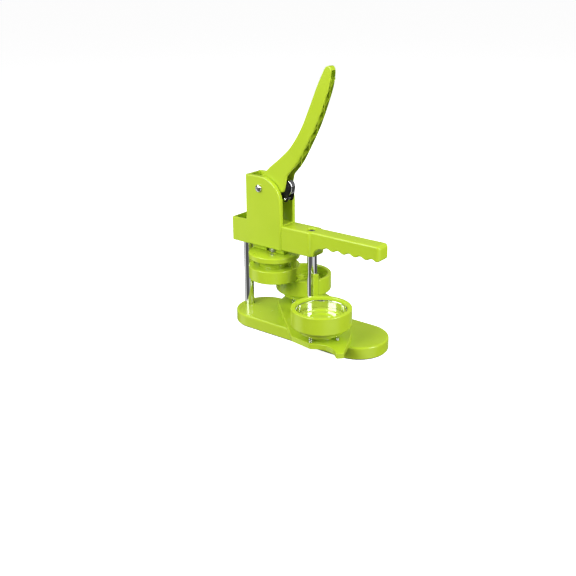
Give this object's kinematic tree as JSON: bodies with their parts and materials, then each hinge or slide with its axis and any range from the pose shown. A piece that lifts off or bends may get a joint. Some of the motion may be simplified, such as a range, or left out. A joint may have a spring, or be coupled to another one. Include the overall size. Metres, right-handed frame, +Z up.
{
  "type": "button badge press",
  "caption": "Hand lever press with a swinging two-die plate, floating die cups and an upper die, for assembling round pin-back badges.",
  "frame": {"origin": "middle of the base's underside", "axes": "+X to the free end of the grip, +Y away from the lever pivot bolt's head, +Z up"},
  "size_m": [0.2536, 0.1865, 0.3814],
  "materials": {
    "green_plastic": "lime green moulded plastic, soft gloss",
    "chrome": "bright chrome plate",
    "steel": "turned steel, zinc plated",
    "blackened_steel": "black oxide, satin",
    "dark_plastic": "fine grain",
    "pad_rubber": "fine ribbed foam rubber"
  },
  "bodies": {
    "base": {"base_shell": "green_plastic", "base_cover": "dark_plastic", "anti_slip_pad": "pad_rubber", "cover_screw_1": "steel", "cover_screw_2": "steel", "cover_screw_3": "steel", "cover_screw_4": "steel", "front_column": "chrome", "rear_column": "chrome", "front_column_foot_screw": "steel", "rear_column_foot_screw": "steel", "frame": "green_plastic", "front_column_top_screw": "chrome", "rear_column_top_screw": "chrome", "pivot_bolt": "chrome", "pivot_nut": "chrome", "ram_bush": "steel", "ram_return_spring": "steel"},
    "lever": {"lever": "green_plastic", "roller_yoke": "blackened_steel", "yoke_pin": "chrome", "roller_axle": "steel", "roller_inner_ring": "steel"},
    "roller": {"roller_outer_ring": "chrome", "roller_seal": "blackened_steel"},
    "ram": {"ram_shaft": "steel", "ram_head": "steel", "press_disc": "green_plastic", "press_core": "green_plastic", "core_band": "green_plastic", "disc_screw_1": "steel", "disc_screw_2": "steel", "disc_screw_3": "steel"},
    "selector": {"selector_ring": "green_plastic"},
    "swing": {"swing_plate": "green_plastic", "swing_bush": "dark_plastic", "trigger_post": "green_plastic", "die_a_stem": "green_plastic", "die_a_table": "green_plastic", "die_a_screw": "steel", "die_b_stem": "green_plastic", "die_b_table": "green_plastic", "die_b_screw": "steel", "die_a_spring_1": "chrome", "die_a_spring_2": "chrome", "die_a_spring_3": "chrome", "die_a_spring_4": "chrome", "die_b_spring_1": "chrome", "die_b_spring_2": "chrome", "die_b_spring_3": "chrome", "die_b_spring_4": "chrome"},
    "cup_a": {"cup_a": "green_plastic", "cup_a_steel_ring": "chrome"},
    "cup_b": {"cup_b": "green_plastic"}
  },
  "joints": [
    {"name": "lever_pivot", "type": "hinge", "parent": "base", "child": "lever", "pos_m": [-0.076, 0, 0.205], "axis": [0, 1, 0], "range_deg": [0, 64], "stiffness_Nm_per_rad": 0.3, "springref_deg": -28.65},
    {"name": "ram_slide", "type": "slide", "parent": "base", "child": "ram", "axis": [0, 0, -1], "range_m": [0, 0.00301], "stiffness_N_per_m": 600, "springref_m": -0.006, "deforming": ["ram_return_spring"]},
    {"name": "roller_spin", "type": "hinge", "parent": "lever", "child": "roller", "pos_m": [-0.041, 0, 0.209], "axis": [0, 1, 0], "continuous": true},
    {"name": "selector_turn", "type": "hinge", "parent": "ram", "child": "selector", "pos_m": [-0.064, 0, 0.085], "axis": [0, 0, 1], "range_deg": [0, 20], "stiffness_Nm_per_rad": 0.02, "springref_deg": -17.19},
    {"name": "die_swing", "type": "hinge", "parent": "base", "child": "swing", "pos_m": [0.004, 0, 0.026], "axis": [0, 0, 1], "range_deg": [-137.3, 42.7]},
    {"name": "cup_a_float", "type": "slide", "parent": "swing", "child": "cup_a", "axis": [0, 0, -1], "range_m": [0, 0.005], "stiffness_N_per_m": 800, "springref_m": -0.002, "deforming": ["die_a_spring_1", "die_a_spring_2", "die_a_spring_3", "die_a_spring_4"]},
    {"name": "cup_b_float", "type": "slide", "parent": "swing", "child": "cup_b", "axis": [0, 0, -1], "range_m": [0, 0.005], "stiffness_N_per_m": 800, "springref_m": -0.002, "deforming": ["die_b_spring_1", "die_b_spring_2", "die_b_spring_3", "die_b_spring_4"]}
  ],
  "couplings": [
    {"joint": "ram_slide", "follows": "lever_pivot", "m_per_rad": 0.0026857}
  ]
}
